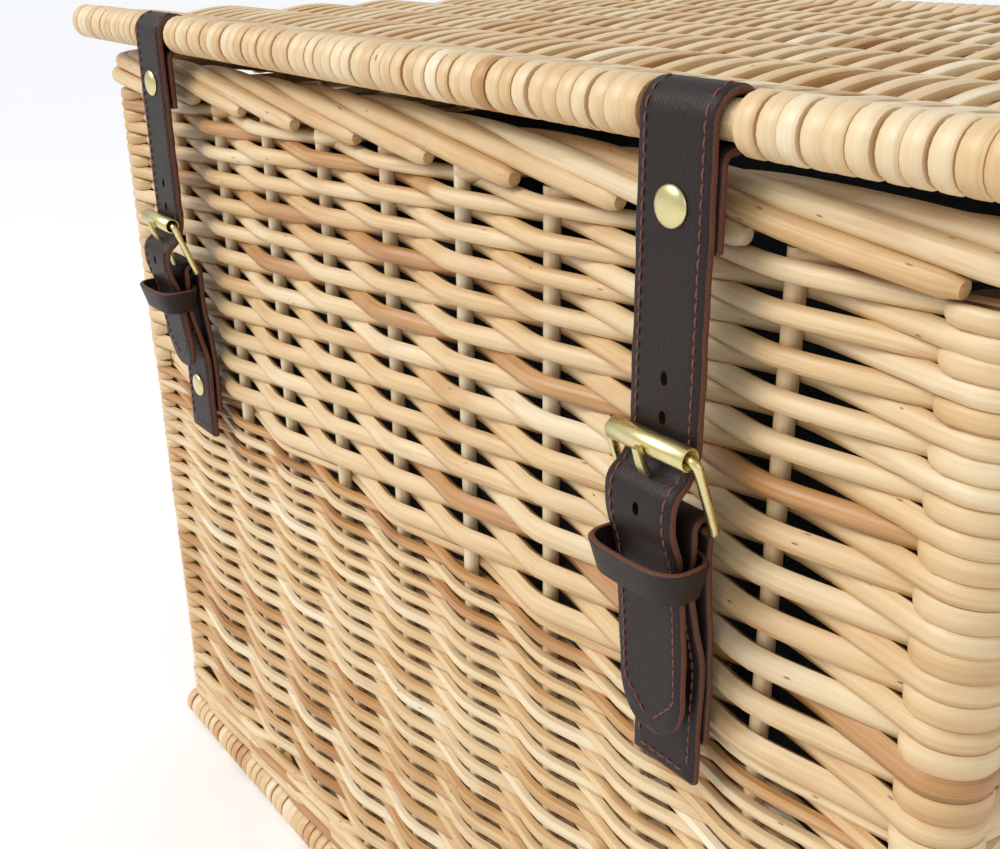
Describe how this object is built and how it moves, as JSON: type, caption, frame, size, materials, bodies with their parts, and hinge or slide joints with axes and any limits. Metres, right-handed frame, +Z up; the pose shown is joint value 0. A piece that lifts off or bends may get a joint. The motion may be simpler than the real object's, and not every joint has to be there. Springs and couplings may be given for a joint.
{
  "type": "wicker picnic basket",
  "caption": "Rectangular woven willow picnic hamper with a flat woven lid, leather hinge loops, fabric lining, bowed end handles and buckled leather closing straps.",
  "frame": {"origin": "middle of the base's flat underside, where the basket stands", "axes": "+X to the right along the front, the longest way; -Y out of the front with the buckles; +Z up"},
  "size_m": [0.4734, 0.2931, 0.3283],
  "materials": {
    "willow": "buff-boiled willow rods, satin, randed fine below and thick above",
    "pale_willow": "peeled and varnished willow, satin",
    "post_willow": "brown willow corner posts, cut end grain on top",
    "lining_fabric": "dark speckled non-woven fabric, matt",
    "dark_leather": "very dark brown leather with raw reddish edges and reddish stitching, satin",
    "pale_brass": "pale polished brass plate"
  },
  "bodies": {
    "basket": {"base_panel": "pale_willow", "lower_siding": "willow", "upper_siding": "pale_willow", "rim_border": "pale_willow", "lining": "lining_fabric", "corner_post_front_left": "post_willow", "corner_post_front_right": "post_willow", "corner_post_back_left": "post_willow", "corner_post_back_right": "post_willow", "stake_front_1": "willow", "stake_front_2": "willow", "stake_front_3": "willow", "stake_front_4": "willow", "stake_front_5": "willow", "stake_front_6": "willow", "stake_front_7": "willow", "stake_front_8": "willow", "stake_front_9": "willow", "stake_back_1": "willow", "stake_back_2": "willow", "stake_back_3": "willow", "stake_back_4": "willow", "stake_back_5": "willow", "stake_back_6": "willow", "stake_back_7": "willow", "stake_back_8": "willow", "stake_back_9": "willow", "stake_left_1": "willow", "stake_left_2": "willow", "stake_left_3": "willow", "stake_left_4": "willow", "stake_left_5": "willow", "stake_right_1": "willow", "stake_right_2": "willow", "stake_right_3": "willow", "stake_right_4": "willow", "stake_right_5": "willow", "side_handle_left": "pale_willow", "hinge_strap_left": "dark_leather", "hinge_rivet_left": "pale_brass", "buckle_strap_left": "dark_leather", "buckle_rivet_left": "pale_brass", "keeper_left": "dark_leather", "side_handle_right": "pale_willow", "hinge_strap_right": "dark_leather", "hinge_rivet_right": "pale_brass", "buckle_strap_right": "dark_leather", "buckle_rivet_right": "pale_brass", "keeper_right": "dark_leather"},
    "lid": {"lid_panel": "pale_willow"},
    "strap_left": {"closing_strap_left": "dark_leather", "strap_rivet_left": "pale_brass"},
    "buckle_left": {"buckle_frame_left": "pale_brass"},
    "roller_left": {"buckle_roller_left": "pale_brass"},
    "prong_left": {"buckle_prong_left": "pale_brass"},
    "strap_right": {"closing_strap_right": "dark_leather", "strap_rivet_right": "pale_brass"},
    "buckle_right": {"buckle_frame_right": "pale_brass"},
    "roller_right": {"buckle_roller_right": "pale_brass"},
    "prong_right": {"buckle_prong_right": "pale_brass"}
  },
  "joints": [
    {"name": "lid_hinge", "type": "hinge", "parent": "basket", "child": "lid", "pos_m": [0, 0.1355, 0.3177], "axis": [-1, 0, 0], "range_deg": [0, 110]},
    {"name": "strap_left_swing", "type": "hinge", "parent": "lid", "child": "strap_left", "pos_m": [-0.1274, -0.13547, 0.32172], "axis": [-1, 0, 0], "range_deg": [-60, 0], "deforming": ["closing_strap_left"]},
    {"name": "buckle_left_tilt", "type": "hinge", "parent": "basket", "child": "buckle_left", "pos_m": [-0.1274, -0.1385, 0.24], "axis": [1, 0, 0], "range_deg": [0, 45]},
    {"name": "roller_left_spin", "type": "hinge", "parent": "buckle_left", "child": "roller_left", "pos_m": [-0.1274, -0.145, 0.25785], "axis": [1, 0, 0], "continuous": true},
    {"name": "prong_left_lift", "type": "hinge", "parent": "buckle_left", "child": "prong_left", "pos_m": [-0.1274, -0.1385, 0.24], "axis": [1, 0, 0], "range_deg": [0, 25]},
    {"name": "strap_right_swing", "type": "hinge", "parent": "lid", "child": "strap_right", "pos_m": [0.1274, -0.13547, 0.32172], "axis": [-1, 0, 0], "range_deg": [-60, 0], "deforming": ["closing_strap_right"]},
    {"name": "buckle_right_tilt", "type": "hinge", "parent": "basket", "child": "buckle_right", "pos_m": [0.1274, -0.1385, 0.24], "axis": [1, 0, 0], "range_deg": [0, 45]},
    {"name": "roller_right_spin", "type": "hinge", "parent": "buckle_right", "child": "roller_right", "pos_m": [0.1274, -0.145, 0.25785], "axis": [1, 0, 0], "continuous": true},
    {"name": "prong_right_lift", "type": "hinge", "parent": "buckle_right", "child": "prong_right", "pos_m": [0.1274, -0.1385, 0.24], "axis": [1, 0, 0], "range_deg": [0, 25]}
  ],
  "couplings": [
    {"joint": "strap_left_swing", "follows": "lid_hinge", "ratio": -0.545},
    {"joint": "strap_right_swing", "follows": "lid_hinge", "ratio": -0.545}
  ]
}
